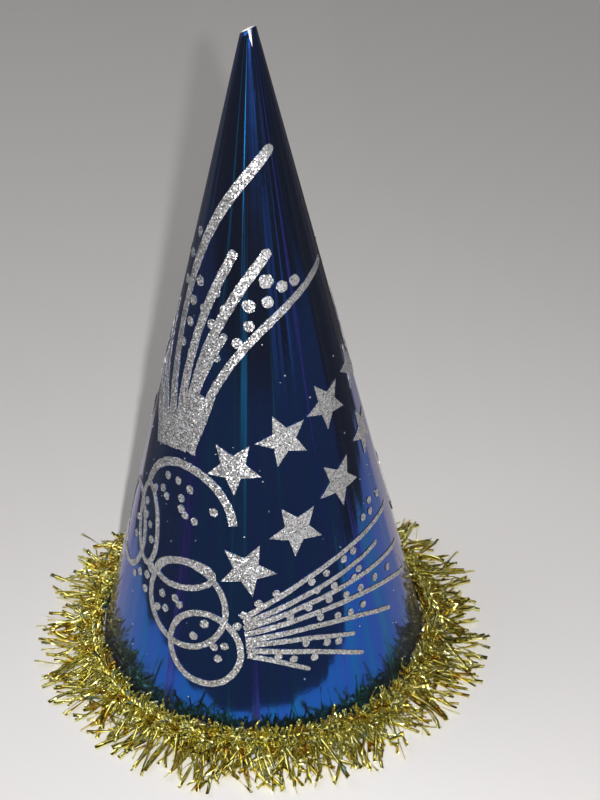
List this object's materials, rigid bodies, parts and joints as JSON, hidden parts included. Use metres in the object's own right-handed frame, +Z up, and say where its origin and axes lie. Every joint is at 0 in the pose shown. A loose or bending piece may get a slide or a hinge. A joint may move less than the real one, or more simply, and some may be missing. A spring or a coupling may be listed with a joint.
{
  "type": "party hat",
  "caption": "Tall cone party hat of blue foil card with a glued lap seam and a gold film garland fixed round its brim.",
  "frame": {"origin": "centre of the brim circle, on the plane the brim stands on", "axes": "+Z up the cone's axis to the tip, -Y the printed front, +Y the lap seam"},
  "size_m": [0.1714, 0.1714, 0.2286],
  "materials": {
    "foil_card": "blue mirror foil outside with silver glitter print, white card inside and on cut edges",
    "gold_film": "gold metallised film, mirror bright",
    "core_thread": "two-ply twisted thread",
    "clear_tape": "clear adhesive strip",
    "hot_melt": "milky hot-melt glue"
  },
  "bodies": {
    "root": {"foil_cone": "foil_card", "seam_tape": "clear_tape", "garland_core": "core_thread", "tinsel_01": "gold_film", "tinsel_02": "gold_film", "tinsel_03": "gold_film", "tinsel_04": "gold_film", "tinsel_05": "gold_film", "tinsel_06": "gold_film", "tinsel_07": "gold_film", "tinsel_08": "gold_film", "tinsel_09": "gold_film", "tinsel_10": "gold_film", "tinsel_11": "gold_film", "tinsel_12": "gold_film", "tinsel_13": "gold_film", "tinsel_14": "gold_film", "tinsel_15": "gold_film", "tinsel_16": "gold_film", "glue_dab_1": "hot_melt", "glue_dab_2": "hot_melt", "glue_dab_3": "hot_melt", "glue_dab_4": "hot_melt", "glue_dab_5": "hot_melt", "glue_dab_6": "hot_melt", "glue_dab_7": "hot_melt", "glue_dab_8": "hot_melt"}
  },
  "joints": []
}
